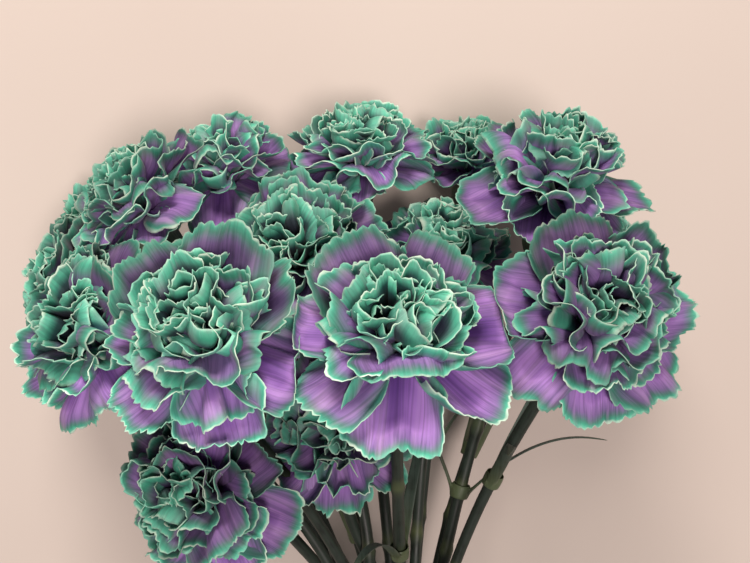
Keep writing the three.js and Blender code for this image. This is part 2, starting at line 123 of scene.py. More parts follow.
def dyed_petal():
    """Petal tissue, dyed by the water it drank: a thin matt sheet, soft as velvet, violet where
    the dye pooled and green towards the edge, with a rim that took almost no dye. Painted shade
    darkens it towards the claws, and painted light and shade make whole flowers and the lowest
    outer petals lighter or darker."""
    material, tree = new_material("dyed_petal_tissue")
    place = add_node(tree, "ShaderNodeUVMap", {"uv_map": "petal_place"}).outputs["UV"]
    kind = add_node(tree, "ShaderNodeUVMap", {"uv_map": "petal_kind"}).outputs["UV"]
    place_xy = add_node(tree, "ShaderNodeSeparateXYZ", {}, {"Vector": place})
    kind_xy = add_node(tree, "ShaderNodeSeparateXYZ", {}, {"Vector": kind})
    from_edge = place_xy.outputs["Y"]
    green_share, tone_and_painted_light = kind_xy.outputs["X"], kind_xy.outputs["Y"]

    # Veins run from the claw to the edge. Each petal reads its own part of the noise.
    own_part = add_node(
        tree, "ShaderNodeMath", {"operation": "MULTIPLY"}, {0: tone_and_painted_light, 1: 9.0}
    ).outputs[0]
    vein_scale = (PATTERN_MM / VEIN_MM, PATTERN_MM / VEIN_LENGTH_MM, 1.0)
    vein_place = add_node(
        tree, "ShaderNodeMapping", {}, {"Vector": place, "Scale": vein_scale}
    ).outputs["Vector"]
    vein = add_node(
        tree,
        "ShaderNodeTexNoise",
        {"noise_dimensions": "4D"},
        {"Vector": vein_place, "W": own_part, "Scale": 1.0, "Detail": 2.0, "Roughness": 0.6},
    ).outputs["Fac"]
    # Broad rays show where the dye ran further along some veins.
    ray_scale = (PATTERN_MM / RAY_MM, PATTERN_MM / RAY_LENGTH_MM, 1.0)
    ray_place = add_node(
        tree, "ShaderNodeMapping", {}, {"Vector": place, "Scale": ray_scale}
    ).outputs["Vector"]
    ray = add_node(
        tree,
        "ShaderNodeTexNoise",
        {"noise_dimensions": "4D"},
        {"Vector": ray_place, "W": own_part, "Scale": 1.0},
    ).outputs["Fac"]

    # The distance from the edge is moved in and out by veins and rays.
    shift = add_node(
        tree, "ShaderNodeMath", {"operation": "MULTIPLY_ADD"}, {0: vein, 1: 0.07, 2: -0.105}
    ).outputs[0]
    shift = add_node(
        tree, "ShaderNodeMath", {"operation": "MULTIPLY_ADD"}, {0: ray, 1: 0.14, 2: shift}
    ).outputs[0]
    moved = add_node(tree, "ShaderNodeMath", {"operation": "ADD"}, {0: from_edge, 1: shift}).outputs[0]
    # Inner petals are green over more of their length.
    reach = add_node(
        tree, "ShaderNodeMath", {"operation": "MULTIPLY_ADD"}, {0: green_share, 1: 1.3, 2: 0.75}
    ).outputs[0]
    zone = add_node(tree, "ShaderNodeMath", {"operation": "DIVIDE"}, {0: moved, 1: reach}).outputs[0]
    # The ramp's darker violet towards the claw is partly painted shade.
    dye = set_stops(add_node(tree, "ShaderNodeValToRGB", {}, {"Fac": zone}), DYE_AND_CLAW_SHADE)

    # Veins are darker, and rays that took less dye are paler.
    vein_shade = set_stops(
        add_node(tree, "ShaderNodeValToRGB", {}, {"Fac": vein}),
        [(0.3, "6c6a7c"), (0.44, "b4b1bd"), (0.56, "f2f1f4"), (0.75, "ffffff")],
    )
    veined = add_node(
        tree,
        "ShaderNodeMix",
        {"data_type": "RGBA", "blend_type": "MULTIPLY"},
        {"Factor": 0.5, "A": dye, "B": vein_shade},
    ).outputs["Result"]
    ray_shade = set_stops(
        add_node(tree, "ShaderNodeValToRGB", {}, {"Fac": ray}),
        [(0.34, "000000"), (0.5, "2a2430"), (0.68, "7c6878")],
    )
    streaked = add_node(
        tree,
        "ShaderNodeMix",
        {"data_type": "RGBA", "blend_type": "SCREEN"},
        {"Factor": 0.7, "A": veined, "B": ray_shade},
    ).outputs["Result"]

    # The pale rim changes in width, and is missing in places.
    rim_noise = add_node(
        tree,
        "ShaderNodeTexNoise",
        {"noise_dimensions": "4D"},
        {"Vector": place, "W": own_part, "Scale": PATTERN_MM / RIM_PATCH_MM, "Detail": 3.0},
    ).outputs["Fac"]
    rim_width = add_node(
        tree,
        "ShaderNodeMapRange",
        {},
        {
            "Value": rim_noise,
            "From Min": 0.4,
            "From Max": 0.68,
            "To Min": THIN_RIM_MM / PATTERN_MM,
            "To Max": WIDE_RIM_MM / PATTERN_MM,
        },
    ).outputs["Result"]
    rim_way = add_node(
        tree, "ShaderNodeMath", {"operation": "DIVIDE"}, {0: from_edge, 1: rim_width}
    ).outputs[0]
    rim = add_node(
        tree, "ShaderNodeMath", {"operation": "SUBTRACT", "use_clamp": True}, {0: 1.0, 1: rim_way}
    ).outputs[0]
    rim_patch = add_node(
        tree,
        "ShaderNodeMapRange",
        {},
        {"Value": rim_noise, "From Min": 0.42, "From Max": 0.64, "To Min": 0.0, "To Max": 1.3},
    ).outputs["Result"]
    rim = add_node(
        tree, "ShaderNodeMath", {"operation": "MULTIPLY", "use_clamp": True}, {0: rim, 1: rim_patch}
    ).outputs[0]
    rimmed = add_node(
        tree,
        "ShaderNodeMix",
        {"data_type": "RGBA"},
        {"Factor": rim, "A": streaked, "B": colour("d4ecd8")},
    ).outputs["Result"]

    # Painted shade: a petal is painted darker towards its claw, where shade falls deep in the crown, and
    # the crowded inner petals darken sooner.
    crowding = add_node(
        tree, "ShaderNodeMath", {"operation": "MULTIPLY_ADD"}, {0: green_share, 1: 1.1, 2: 0.5}
    ).outputs[0]
    depth = add_node(
        tree, "ShaderNodeMath", {"operation": "MULTIPLY"}, {0: from_edge, 1: crowding}
    ).outputs[0]
    painted_claw_shade = set_stops(
        add_node(tree, "ShaderNodeValToRGB", {}, {"Fac": depth}),
        [(0.12, "ffffff"), (0.25, "7c7688"), (0.43, "14111c")],
    )
    claw_shaded = add_node(
        tree,
        "ShaderNodeMix",
        {"data_type": "RGBA", "blend_type": "MULTIPLY"},
        {"Factor": 1.0, "A": rimmed, "B": painted_claw_shade},
    ).outputs["Result"]
    # Painted light and shade, with some random tone: whole flowers in shade are painted darker, and the
    # lowest outer petals, where light falls on them, lighter.
    brightness = add_node(
        tree, "ShaderNodeMath", {"operation": "MULTIPLY_ADD"}, {0: tone_and_painted_light, 1: 1.1, 2: 0.4}
    ).outputs[0]
    toned = add_node(
        tree, "ShaderNodeHueSaturation", {}, {"Color": claw_shaded, "Value": brightness}
    ).outputs["Color"]
    relief = add_node(
        tree, "ShaderNodeBump", {}, {"Strength": 0.5, "Distance": 0.3 * MM, "Height": vein}
    ).outputs["Normal"]
    finish_material(
        tree,
        {
            "Base Color": toned,
            "Roughness": 0.62,
            "Specular IOR Level": 0.3,
            "Sheen Weight": 0.12,
            "Sheen Roughness": 0.4,
            "Subsurface Weight": 0.12,
            "Subsurface Radius": (0.6, 0.5, 0.6),
            "Subsurface Scale": 2.0 * MM,
            "Normal": relief,
        },
    )
    return material


def waxy_green(name, dark, light, pale, streak_mm):
    """Carnation stem, calyx or leaf: a smooth skin under a blue-grey wax bloom, rubbed off in
    places, so it is dull with a soft shine. Pale growth shows where the "pale" map says."""
    material, tree = new_material(name)
    place = add_node(tree, "ShaderNodeUVMap", {"uv_map": "along"}).outputs["UV"]
    streak_scale = (1 / (streak_mm * MM), 1 / (14 * streak_mm * MM), 1)
    stretched = add_node(
        tree, "ShaderNodeMapping", {}, {"Vector": place, "Scale": streak_scale}
    ).outputs["Vector"]
    streak = add_node(
        tree, "ShaderNodeTexNoise", {}, {"Vector": stretched, "Scale": 1.0, "Detail": 3.0}
    ).outputs["Fac"]
    # Patches where the bloom is rubbed off are about 7 mm across.
    spot = add_node(tree, "ShaderNodeTexCoord").outputs["Object"]
    bloom = add_node(
        tree, "ShaderNodeTexNoise", {}, {"Vector": spot, "Scale": 1 / (7 * MM), "Detail": 4.0}
    ).outputs["Fac"]
    half_streak = add_node(
        tree, "ShaderNodeMath", {"operation": "MULTIPLY"}, {0: streak, 1: 0.5}
    ).outputs[0]
    mixed = add_node(
        tree, "ShaderNodeMath", {"operation": "MULTIPLY_ADD"}, {0: bloom, 1: 0.5, 2: half_streak}
    ).outputs[0]
    skin = set_stops(
        add_node(tree, "ShaderNodeValToRGB", {}, {"Fac": mixed}),
        [(0.36, dark), (0.52, light), (0.7, light)],
    )
    pale_map = add_node(tree, "ShaderNodeUVMap", {"uv_map": "pale"}).outputs["UV"]
    pale_share = add_node(tree, "ShaderNodeSeparateXYZ", {}, {"Vector": pale_map}).outputs["X"]
    grown = add_node(
        tree,
        "ShaderNodeMix",
        {"data_type": "RGBA"},
        {"Factor": pale_share, "A": skin, "B": colour(pale)},
    ).outputs["Result"]
    rough = add_node(
        tree, "ShaderNodeMapRange", {}, {"Value": bloom, "To Min": 0.38, "To Max": 0.62}
    ).outputs["Result"]
    relief = add_node(
        tree, "ShaderNodeBump", {}, {"Strength": 0.4, "Distance": 0.15 * MM, "Height": streak}
    ).outputs["Normal"]
    finish_material(tree, {"Base Color": grown, "Roughness": rough, "IOR": 1.45, "Normal": relief})
    return material


def natural_rubber():
    """Extruded natural rubber, cut into bands: tan and dull, with 2 mm patches of pale talc."""
    material, tree = new_material("natural_rubber_band")
    place = add_node(tree, "ShaderNodeTexCoord").outputs["Object"]
    talc = add_node(
        tree, "ShaderNodeTexNoise", {}, {"Vector": place, "Scale": 1 / (2 * MM), "Detail": 4.0}
    ).outputs["Fac"]
    tan = set_stops(
        add_node(tree, "ShaderNodeValToRGB", {}, {"Fac": talc}),
        [(0.35, "a9794a"), (0.6, "c4986a"), (0.75, "d3b490")],
    )
    relief = add_node(
        tree, "ShaderNodeBump", {}, {"Strength": 0.3, "Distance": 0.1 * MM, "Height": talc}
    ).outputs["Normal"]
    finish_material(tree, {"Base Color": tan, "Roughness": 0.6, "IOR": 1.52, "Normal": relief})
    return material


PETAL = dyed_petal()
# The stem's colours are its own dark grey-green, darkened further as painted shade.
STEM = waxy_green("waxy_carnation_stem", "171d17", "2a352d", "5c6640", 1.2)
CALYX = waxy_green("waxy_carnation_calyx", "28332a", "48574a", "7a8460", 0.9)
LEAF = waxy_green("waxy_carnation_leaf", "1c261f", "36463d", "66724a", 0.8)
RUBBER = natural_rubber()


# ---------------------------------------------------------------- reading the solids


def points_of(node):
    """The points of a solid, in millimetres."""
    return get_points(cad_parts[node].data) / MM


def get_points(mesh):
    flat = np.empty(len(mesh.vertices) * 3, np.float32)
    mesh.vertices.foreach_get("co", flat)
    return flat.reshape(-1, 3).astype(float)


def unit(v):
    v = np.asarray(v, float)
    return v / np.linalg.norm(v)


# Open width of each flower, in millimetres, in the order of their numbers.
ACROSS = [88, 86, 82, 84, 82, 70, 84, 78, 76, 72, 72, 82, 90, 74, 68, 74]
CROWN_GAP = 0.4  # between a calyx's mouth and its crown
CENTRE_SHARE = 0.42  # of a crown's radius, from the mouth to the middle of the crown


def read_flower(number):
    """Where a flower is and which way it faces, in millimetres, from its calyx and its crown."""
    calyx = np.unique(points_of(f"calyx_{number:02d}").round(3), axis=0)
    crown = points_of(f"petals_{number:02d}")
    axis = np.linalg.svd(calyx - calyx.mean(0), full_matrices=False)[2][0]
    if (crown.mean(0) - calyx.mean(0)) @ axis < 0:
        axis = -axis
    along = calyx @ axis
    foot = calyx[along < along.min() + 0.05].mean(0)
    length = along.max() - along.min()
    base = foot + axis * (along.min() - foot @ axis)
    mouth = base + axis * (length + CROWN_GAP)
    right = unit(np.array([1.0, 0.0, 0.0]) - axis * axis[0])
    back = np.cross(axis, right)
    radius = ACROSS[number - 1] / 2
    return {
        "number": number,
        "base": base,
        "mouth": mouth,
        "centre": mouth + axis * CENTRE_SHARE * radius,
        "length": length,
        "radius": radius,
        "right": right,
        "back": back,
        "basis": np.stack([right, back, axis]),
    }


flowers = [read_flower(number) for number in FLOWERS]


# ---------------------------------------------------------------- making pieces


def put_in_scene(name, mesh, material, replaced):
    """A finished piece that rides on the bunch and stands for one of its solids."""
    piece = bpy.data.objects.new(name, mesh)
    bpy.context.scene.collection.objects.link(piece)
    mesh.materials.append(material)
    mesh.polygons.foreach_set("use_smooth", [True] * len(mesh.polygons))
    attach(piece, "root")
    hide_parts(replaced)
    return piece


def thicken(piece, thickness, offset=0.0):
    """A wall in millimetres: outwards, inwards or both, as the offset is 1, -1 or 0."""
    wall = piece.modifiers.new("wall", "SOLIDIFY")
    wall.thickness = thickness * MM
    wall.offset = offset


def set_points(mesh, points):
    mesh.vertices.foreach_set("co", (points * MM).astype(np.float32).ravel())
    mesh.update()


def write_uv(mesh, name, values):
    """A UV map from one pair of values at each vertex."""
    layer = mesh.uv_layers.new(name=name)
    corner = np.empty(len(mesh.loops), np.int32)
    mesh.loops.foreach_get("vertex_index", corner)
    layer.data.foreach_set("uv", values[corner].astype(np.float32).ravel())


def write_pale(mesh, pale):
    write_uv(mesh, "pale", np.stack([pale, 0 * pale], 1))


def finish_mesh(name, bm):
    mesh = bpy.data.meshes.new(name)
    bm.to_mesh(mesh)
    bm.free()
    return mesh


def loose_sheets(name, count, columns, rows):
    """A mesh of flat square sheets, all in one place, with the places of one sheet's points:
    across it from -1 to 1, and along it from 0 to 1."""
    bm = bmesh.new()
    for _ in range(count):
        bmesh.ops.create_grid(bm, x_segments=columns, y_segments=rows, size=1.0)
    mesh = finish_mesh(name, bm)
    flat = get_points(mesh).reshape(count, -1, 3)
    return mesh, flat[0, :, 0], (flat[0, :, 1] + 1) / 2


def tube_sheet(name, around, steps, closed):
    """A mesh tube, open or with closed ends, with its points' turns round it and shares along it."""
    bm = bmesh.new()
    bmesh.ops.create_grid(bm, x_segments=around, y_segments=steps, size=1.0)
    for vertex in bm.verts:
        turn = math.pi * vertex.co.x
        vertex.co = (math.cos(turn), math.sin(turn), vertex.co.y)
    bmesh.ops.remove_doubles(bm, verts=bm.verts, dist=1e-4)
    if closed:
        bmesh.ops.holes_fill(bm, edges=bm.edges, sides=0)
    bmesh.ops.recalc_face_normals(bm, faces=bm.faces)
    mesh = finish_mesh(name, bm)
    flat = get_points(mesh)
    return mesh, np.arctan2(flat[:, 1], flat[:, 0]), (flat[:, 2] + 1) / 2


def smooth_step(x, low, high):
    t = np.clip((x - low) / (high - low), 0, 1)
    return t * t * (3 - 2 * t)


# ---------------------------------------------------------------- petals

PETAL_THICKNESS = 0.3
MARGIN_POWER = 1.35  # crowds the sheet's rows towards the edge
UPRIGHT = math.radians(7)  # the lean of a petal where it leaves the calyx
SPARE_LENGTH = 1.2  # a petal's middle line goes on past its edge, for the teeth
FLATTEST_CUP = 1e-4
CORNER_MM = 1.2  # rounds the corners of the dyed margin


def waves(random, u, count, low, high):
    """A sum of waves across a petal, with lengths that don't repeat."""
    total = np.zeros_like(u)
    for _ in range(count):
        turns = random.uniform(low, high)
        total += random.uniform(0.5, 1.0) * np.sin(math.pi * turns * u + random.uniform(0, 2 * math.pi))
    return total / (0.55 * count + 0.2)


def tooth_line(random, columns):
    """How far each column of a petal's edge stands out: teeth cut by notches at uneven gaps."""
    line = np.zeros(columns + 1)
    place = random.integers(1, 4)
    while place < columns:
        depth = random.uniform(0.6, 1.9)
        line[place] -= depth
        # A deep notch is two columns wide.
        if depth > 1.1:
            line[max(place - 1, 0)] -= 0.35 * depth
        place += random.integers(2, 5)
    return line + 0.5 * waves(random, np.linspace(-1, 1, columns + 1), 3, 4, 12)


def cut_petal(random, u, share, p, columns):
    """A flat petal with shallow lobes and small uneven teeth: how far out each point is, and its
    angle from the middle."""
    outline = 0.48 + 0.52 * np.sqrt(1 - 0.98 * u**2) + p["lobes"] * waves(random, u, 3, 1.5, 4.5)
    column = np.rint((u + 1) / 2 * columns).astype(int)
    teeth = tooth_line(random, columns)[column] * p["teeth"] * smooth_step(share, 0.94, 1.0)
    out = p["length"] * share * outline + teeth
    fan = p["half_angle"] * u * (0.5 + 0.5 * smooth_step(share, 0.03, 0.55))
    return out, fan


def ruffle_petal(random, u, share, p):
    """How far a petal's waves move its points sideways, outwards and off its own surface."""
    # Broad waves grow towards the edge, and lean over where they are deep.
    height = p["ruffle"] * smooth_step(share, 0.22, 1.0) ** 1.2
    drift = 0.5 * waves(random, u, 2, 0.6, 1.6)
    angle = math.pi * p["turns"] * u + p["phase"] + drift + 0.6 * share
    lift = height * (np.sin(angle) + 0.35 * waves(random, u + 0.3 * share, 2, 1.0, 3.0))
    sideways = -0.4 * height * np.sin(2 * angle)
    outwards = 0.2 * height * np.cos(angle + 1.0)
    # The edge is frilled, the sides curl, and shallow creases cross the blade.
    lift = lift + p["frill"] * smooth_step(share, 0.72, 1.0) * waves(random, u, 3, 6.0, 13.0)
    curl = np.where(u < 0, p["side_curl"][0], p["side_curl"][1]) * smooth_step(np.abs(u), 0.55, 1.0)
    lift = lift + curl * 4.0 * smooth_step(share, 0.3, 0.8)
    lift = lift + 0.7 * waves(random, u + 0.6 * share, 3, 2.0, 6.0) * smooth_step(share, 0.15, 0.6)
    lift = lift + 0.5 * waves(random, share + 0.35 * u, 2, 2.0, 5.0) * smooth_step(share, 0.3, 0.8)
    return sideways, outwards, lift


def follow_middle(along, p):
    """Radius, height and lean along a petal's middle line, which leaves the calyx upright and
    bends outwards."""
    steps = np.linspace(0, 1, 60)
    reach = SPARE_LENGTH * p["length"]
    step_length = reach / (len(steps) - 1)
    lean = UPRIGHT + (p["open"] - UPRIGHT) * smooth_step(steps, 0.0, p["bend"])
    lean = lean + p["droop"] * steps**2
    radius = p["start_radius"] + np.concatenate([[0], np.cumsum(np.sin(lean[1:]) * step_length)])
    height = p["start_height"] + np.concatenate([[0], np.cumsum(np.cos(lean[1:]) * step_length)])
    where = np.clip(along / reach, 0, 1)
    return np.interp(where, steps, radius), np.interp(where, steps, height), np.interp(where, steps, lean)


def turn_edge(u, share, p, r, h, lean):
    """Turns the last third of a petal over, up or down, and more on one side than the other."""
    turned = smooth_step(share, 0.66, 1.08)
    angle = p["roll"] * (1 + 0.6 * np.sin(2.2 * u + p["phase"])) * turned
    rolled = turned * 0.3 * p["length"]
    fore, drop = rolled * np.sin(angle), rolled * (1 - np.cos(angle))
    r = r - np.cos(lean) * fore - np.sin(lean) * drop
    h = h + np.sin(lean) * fore - np.cos(lean) * drop
    return r, h, lean - angle


def edge_distance(u, share, out, p):
    """Distance of each point from the toothed edge or the sides, whichever is nearer. It grows
    inwards from the sides near the claw, so that the claw isn't green."""
    from_side = 0.9 + out * p["half_angle"] * (1 - np.abs(u)) * 0.65
    from_side = from_side + 9.0 * (1 - smooth_step(share, 0.3, 0.75))
    from_end = p["length"] * (1 - share)
    nearest = -CORNER_MM * np.log(np.exp(-from_side / CORNER_MM) + np.exp(-from_end / CORNER_MM))
    return np.maximum(nearest, 0)


def shape_petal(random, u, v, p, columns):
    """One petal in the frame of its flower, right, back and along the axis, in millimetres, and
    its pattern coordinates."""
    share = 1 - (1 - v) ** MARGIN_POWER
    out, fan = cut_petal(random, u, share, p, columns)
    sideways, outwards, lift = ruffle_petal(random, u, share, p)
    side = out * np.sin(fan) + sideways
    along = out * np.cos(fan) + outwards
    r, h, lean = follow_middle(along, p)
    r, h, lean = turn_edge(u, share, p, r, h, lean)
    # Across, the petal is cupped, and its blade may swing to one side of its claw.
    cup = p["cup"] if abs(p["cup"]) > FLATTEST_CUP else FLATTEST_CUP
    curl = side * cup
    across = np.sin(curl) / cup - np.sin(curl) * lift + p["swing"] * share**2 * p["length"]
    raised = (1 - np.cos(curl)) / cup + np.cos(curl) * lift
    r = r - np.cos(lean) * raised
    h = h + np.sin(lean) * raised
    turn = p["turn"]
    x = r * math.cos(turn) - across * math.sin(turn)
    y = r * math.sin(turn) + across * math.cos(turn)
    pattern = np.stack([out * fan, edge_distance(u, share, out, p)], 1) / PATTERN_MM
    return np.stack([x, y, h], 1), pattern


# The petals from the outermost in. Each row is a whorl: how many petals, how far they open in
# degrees, how much further they open where they hung lowest, length as a share of the flower's
# radius, half the fan's angle in degrees, cup, wave height in millimetres, waves across, green.
WHORLS = [
    (7, 90, 26, 1.1, 37, -0.002, 2.2, 1.6, 0.0),
    (6, 70, 18, 1.0, 39, 0.008, 3.4, 2.0, 0.0),
    (5, 50, 8, 0.94, 42, 0.018, 4.0, 2.1, 0.15),
    (5, 33, 4, 0.9, 42, 0.028, 4.0, 2.0, 0.5),
    (5, 18, 0, 0.88, 40, 0.04, 3.8, 1.9, 0.9),
    (3, 7, 0, 0.84, 36, 0.055, 3.2, 1.8, 1.0),
]
PETALS_IN_CROWN = sum(whorl[0] for whorl in WHORLS)
BACK_REACH = 0.12  # how much longer the highest petals are, as a share
BACK_GREEN = 0.3  # how much greener the highest petals of the three outer whorls are
# Painted light: the lowest outer petals are painted lighter, where light falls on their faces.
LOW_PETAL_PAINTED_LIGHT = 0.4  # how much paler the lowest petals of the two outer whorls are

# How far the flowers, in the order of their numbers, are from the usual share of green.
GREENER = [-0.05, 0.05, -0.15, -0.6, -0.4, -0.2, 0, -0.5, -0.35, -0.1, 0, 0.05, -0.35, 0, 0.1, -0.1]

# How light each flower's petals are painted, from 0 to 1, in the order of their numbers: painted light
# and shade, darker for flowers that sit in shade.
FLOWER_PAINTED_LIGHT = [0.6, 0.6, 0.55, 0.38, 0.32, 0.2, 0.46, 0.48, 0.42, 0.42, 0.42, 0.5, 0.38, 0.42, 0.42, 0.32]

# Petals whose place is listed, from the outermost in, for the flowers that show most. Each
# row gives the turn round the flower and the opening in degrees, and the length as a share of the
# flower's radius. A turn of 0 points right, 90 up and away, and -90 down.
PLACED_PETALS = {
    1: [
        (-92, 116, 1.1), (-40, 108, 1.16), (-142, 106, 1.12), (8, 90, 1.3), (60, 58, 1.22),
        (116, 55, 1.24), (178, 92, 1.18), (-62, 62, 0.86), (-122, 66, 0.9), (-5, 58, 0.86),
        (45, 50, 0.92), (90, 46, 0.96), (165, 60, 0.88),
    ],
    2: [
        (-84, 118, 1.14), (-20, 102, 1.2), (-142, 108, 1.08), (168, 84, 1.06), (122, 54, 1.24),
        (78, 50, 1.28), (30, 72, 1.18), (-70, 98, 0.96), (-122, 78, 0.94), (-12, 62, 0.88),
        (45, 48, 0.94), (98, 44, 1.0), (155, 58, 0.9),
    ],
    4: [
        (-84, 116, 1.06), (-40, 104, 1.08), (-136, 108, 1.14), (2, 88, 1.06), (48, 64, 1.08),
        (98, 60, 1.12), (172, 88, 1.16), (-98, 84, 0.92), (-45, 74, 0.86), (12, 60, 0.86),
        (62, 48, 0.9), (118, 46, 0.9), (-160, 70, 0.9),
    ],
    5: [
        (-20, 104, 1.1), (-70, 108, 1.04), (-118, 106, 1.02), (-168, 98, 1.04), (32, 86, 1.08),
        (85, 70, 1.04), (138, 74, 1.04), (-45, 74, 0.9), (-110, 78, 0.9), (0, 64, 0.88),
        (55, 54, 0.9), (105, 56, 0.9), (165, 64, 0.9),
    ],
    7: [
        (-88, 114, 1.12), (-140, 110, 1.16), (-36, 108, 1.1), (12, 86, 1.08), (58, 64, 1.02),
        (104, 58, 1.0), (164, 88, 1.12),
    ],
    8: [
        (-90, 114, 1.14), (-142, 112, 1.24), (-40, 108, 1.12), (8, 90, 1.1), (52, 66, 1.04),
        (98, 58, 1.0), (160, 86, 1.1),
    ],
    13: [
        (-155, 102, 1.08), (-100, 112, 1.06), (-48, 106, 1.06), (-5, 94, 1.08), (45, 66, 1.02),
        (95, 58, 1.0), (142, 68, 1.04), (-80, 84, 0.92), (-130, 72, 0.9), (-30, 74, 0.88),
        (30, 54, 0.88), (85, 48, 0.9), (140, 52, 0.9),
    ],
}


def lowness(flower, turn):
    """How low a petal hangs at a turn round its flower, from -1 at the top to 1 at the bottom."""
    return -(flower["right"] * math.cos(turn) + flower["back"] * math.sin(turn))[1]


def crown_plan(random, flower):
    """The petals of one flower from the outermost in."""
    petals = []
    number = flower["number"]
    placed = PLACED_PETALS.get(number, [])
    first_turn = random.uniform(0, 2 * math.pi)
    for w, (count, opening, sag, reach, half_angle, cup, ruffle, turns, green) in enumerate(WHORLS):
        outer = w < 2
        first_turn += math.pi / count + random.uniform(-0.15, 0.15)
        for k in range(count):
            inner = len(petals) / (PETALS_IN_CROWN - 1)
            turn = first_turn + (k + random.uniform(-0.18, 0.18)) * 2 * math.pi / count
            low = lowness(flower, turn)
            opened = opening + sag * low + random.uniform(-7, 7) * (1 if w == 0 else 1.7)
            reached = reach * random.uniform(0.94, 1.05) * (1 + BACK_REACH * max(0, -low))
            if len(petals) < len(placed):
                degrees, opened, reached = placed[len(petals)]
                turn = math.radians(degrees)
                low = lowness(flower, turn)
            greener = GREENER[number - 1] + (BACK_GREEN * max(0, -low) if w < 3 else 0)
            # Painted light and shade: each flower's own painted lightness, raised on the lowest outer
            # petals.
            painted_lightness = FLOWER_PAINTED_LIGHT[number - 1] + (LOW_PETAL_PAINTED_LIGHT * low if outer else 0)
            petals.append(
                {
                    "turn": turn,
                    "open": math.radians(opened),
                    "length": flower["radius"] * reached,
                    "half_angle": math.radians(half_angle + random.uniform(-5, 4)),
                    "cup": cup + random.uniform(-0.008, 0.01) * (1 + w / 3),
                    "ruffle": ruffle * random.uniform(0.7, 1.3),
                    "turns": turns + random.uniform(-0.5, 0.6),
                    "phase": random.uniform(0, 2 * math.pi),
                    "frill": 0.45 if outer else 0.6,
                    "lobes": random.uniform(0.03, 0.075),
                    "side_curl": random.uniform(-1.0, 1.0, 2),
                    "teeth": random.uniform(0.8, 1.3),
                    "bend": 0.34 + 0.3 * inner,
                    "droop": math.radians(random.uniform(-6, 10) * (1 - inner)),
                    "roll": math.radians(random.uniform(-22, 30) if outer else random.uniform(-46, 40)),
                    "start_radius": 4.2 - 3.4 * inner,
                    "start_height": -3.0 + 2 * inner,
                    "swing": random.uniform(-0.12, 0.12),
                    "green": max(0, green + greener + random.uniform(-0.1, 0.22)),
                    "tone_and_painted_light": min(1, max(0, painted_lightness + random.uniform(-0.16, 0.16))),
                }
            )
    return petals


SOFT_MM = 4.0  # how far a pressed petal gives
NEIGHBOUR_GAP = 12.0  # crowns further apart than this don't press on each other
SHARED_MM = 1.5  # how far each of two neighbours reaches past their middle plane
GROUND_CLEARANCE = 0.4
DOWN = np.array([0.0, 0.0, -1.0])


def press_planes(flower):
    """The planes that a flower's petals press against: the ground, and its neighbours."""
    planes = [(DOWN, -GROUND_CLEARANCE)]
    for other in flowers:
        way = other["centre"] - flower["centre"]
        distance = np.linalg.norm(way)
        if other is flower or distance > flower["radius"] + other["radius"] + NEIGHBOUR_GAP:
            continue
        share = distance / 2 + (flower["radius"] ** 2 - other["radius"] ** 2) / (2 * distance)
        way = way / distance
        planes.append((way, way @ (flower["centre"] + way * (share + SHARED_MM))))
    return planes


def press(points, planes):
    """Moves what lies beyond a plane back to it, softly, so that petals flatten against it."""
    for way, room in planes:
        beyond = points @ way - room + SOFT_MM
        given = np.where(beyond > 0, SOFT_MM * (1 - np.exp(-np.maximum(beyond, 0) / SOFT_MM)), beyond)
        points = points + np.outer(given - beyond, way)
    return points


NEAR_FLOWERS = (1, 2, 3, 4, 5, 7, 12, 13)  # made of finer sheets
PATTERN_GAP = 3.7  # keeps the petals of a crown apart in the pattern


def make_crown(flower):
    number = flower["number"]
    columns, rows = (52, 14) if number in NEAR_FLOWERS else (40, 11)
    random = np.random.default_rng(100 + number)
    name = f"crown_{number:02d}"
    petals = crown_plan(random, flower)
    mesh, u, v = loose_sheets(name, len(petals), columns, rows)
    planes = press_planes(flower)
    points, places, kinds = [], [], []
    for k, petal in enumerate(petals):
        local, pattern = shape_petal(random, u, v, petal, columns)
        points.append(press(flower["mouth"] + local @ flower["basis"], planes))
        places.append(pattern + [k * PATTERN_GAP, 0])
        kinds.append(np.tile([petal["green"], petal["tone_and_painted_light"]], (len(u), 1)))
    set_points(mesh, np.concatenate(points))
    write_uv(mesh, "petal_place", np.concatenate(places))
    write_uv(mesh, "petal_kind", np.concatenate(kinds))
    piece = put_in_scene(name, mesh, PETAL, f"petals_{number:02d}")
    thicken(piece, PETAL_THICKNESS)


for f in flowers:
    make_crown(f)


# ---------------------------------------------------------------- stems

STEM_RADIUS = 2.8
STEM_STEPS = 110
JOINT_GAP = 62.0  # between the swollen joints of a stem
LEAST_GAP = 30.0  # from a joint with leaves to one without
BARE_TOP = 25.0  # no joint without leaves is this close to a stem's flower
SHEATH_REACH = 2.6  # how far the ring of a pair of leaves stands out from its stem


def stem_line(number):
    """The middle line of a stem's solid, from the cut end to the flower, in millimetres: the
    middles of its rings of points, one after another."""
    points, labels = np.unique(points_of(f"stem_{number:02d}").round(3), axis=0, return_inverse=True)
    labels = labels.reshape(-1)
    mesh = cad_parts[f"stem_{number:02d}"].data
    triangles = np.array([[labels[i] for i in p.vertices] for p in mesh.polygons])
    a, b, c = (points[triangles[:, i]] for i in range(3))
    facing = np.cross(b - a, c - a)
    facing /= np.linalg.norm(facing, axis=1)[:, None]
    # The first ring belongs to the cut end, which faces down the bunch.
    low = points[triangles].mean(1)[:, 1] < points[:, 1].min() + 4
    ring = set(triangles[(facing[:, 1] < -0.8) & low].ravel())
    links = [set() for _ in points]
    for i, j, k in triangles:
        links[i] |= {j, k}
        links[j] |= {i, k}
        links[k] |= {i, j}
    seen, line = set(ring), []
    while ring:
        line.append(points[list(ring)].mean(0))
        ring = set().union(*(links[i] for i in ring)) - seen
        seen |= ring
    return np.array(line)


